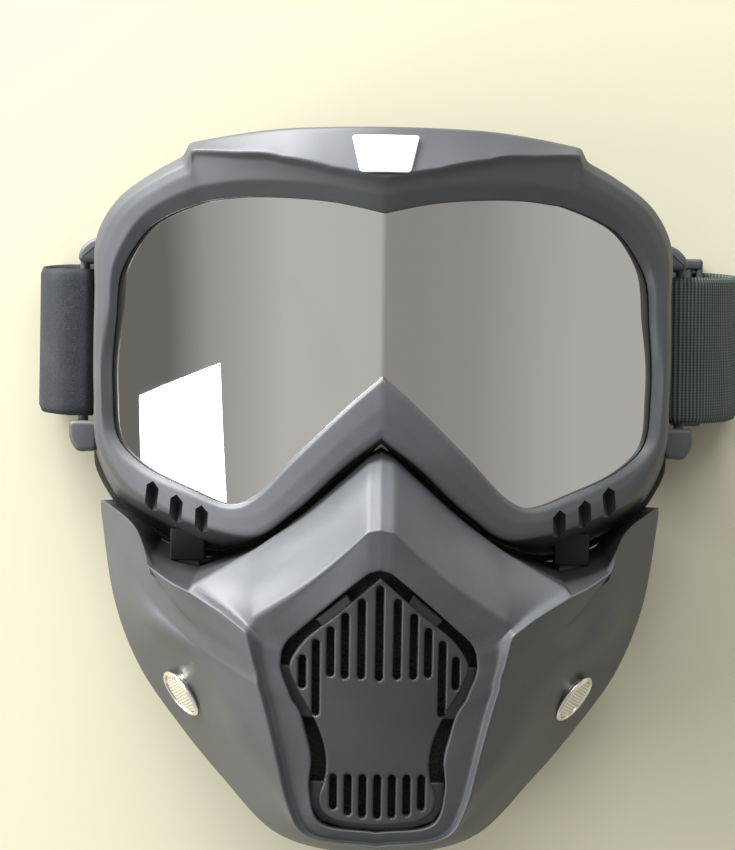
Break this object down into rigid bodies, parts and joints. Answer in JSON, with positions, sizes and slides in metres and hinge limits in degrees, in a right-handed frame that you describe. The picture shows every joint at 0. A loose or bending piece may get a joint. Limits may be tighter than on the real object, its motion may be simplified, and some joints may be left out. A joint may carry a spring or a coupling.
{
  "type": "motorcycle goggles with clip-on face mask",
  "caption": "Wrapped riding goggles with a folded mirror lens, foam, strap and adjusters, and a clip-on vented face mask with a filter and side vents.",
  "frame": {"origin": "on the surface that the goggles lie on, under the middle of the object", "axes": "+Z out of the face, from the surface that the goggles lie on; +Y from the chin to the forehead; +X towards the wearer's left"},
  "size_m": [0.2132, 0.2093, 0.1041],
  "materials": {
    "satin_black": "satin",
    "mirror_lens": "polished",
    "black_rubber": "matt",
    "black_foam": "open-cell foam",
    "black_fleece": "napped",
    "silver_white": "satin",
    "black_webbing": "woven",
    "polished_steel": "polished"
  },
  "bodies": {
    "goggles": {"goggle_frame": "satin_black", "lens": "mirror_lens", "lens_seal": "black_rubber", "brow_badge": "silver_white", "face_foam": "black_foam", "foam_fleece": "black_fleece", "lower_vent_foam_left": "black_foam", "lower_vent_foam_right": "black_foam", "strap_end_left": "black_webbing", "strap_end_right": "black_webbing", "strap_band": "black_webbing", "strap_tail": "black_webbing"},
    "mask": {"mask_shell": "satin_black", "vent_grille": "satin_black", "side_vent_ring_left": "polished_steel", "side_vent_ring_right": "polished_steel", "side_vent_mesh_left": "polished_steel", "side_vent_mesh_right": "polished_steel"},
    "filter": {"filter_foam": "black_foam", "filter_retainer": "satin_black"},
    "adjuster_left": {"strap_adjuster_left": "satin_black"},
    "adjuster_right": {"strap_adjuster_right": "satin_black"}
  },
  "joints": [
    {"name": "mask_pull", "type": "slide", "parent": "goggles", "child": "mask", "axis": [0, -1, 0], "range_m": [0, 0.06]},
    {"name": "filter_pull", "type": "slide", "parent": "mask", "child": "filter", "axis": [0, 0, -1], "range_m": [0, 0.02]},
    {"name": "adjuster_left_slide", "type": "slide", "parent": "goggles", "child": "adjuster_left", "axis": [-1, 0, 0], "range_m": [0, 0.0038]},
    {"name": "adjuster_right_slide", "type": "slide", "parent": "goggles", "child": "adjuster_right", "axis": [1, 0, 0], "range_m": [-0.003, 0.012]}
  ]
}
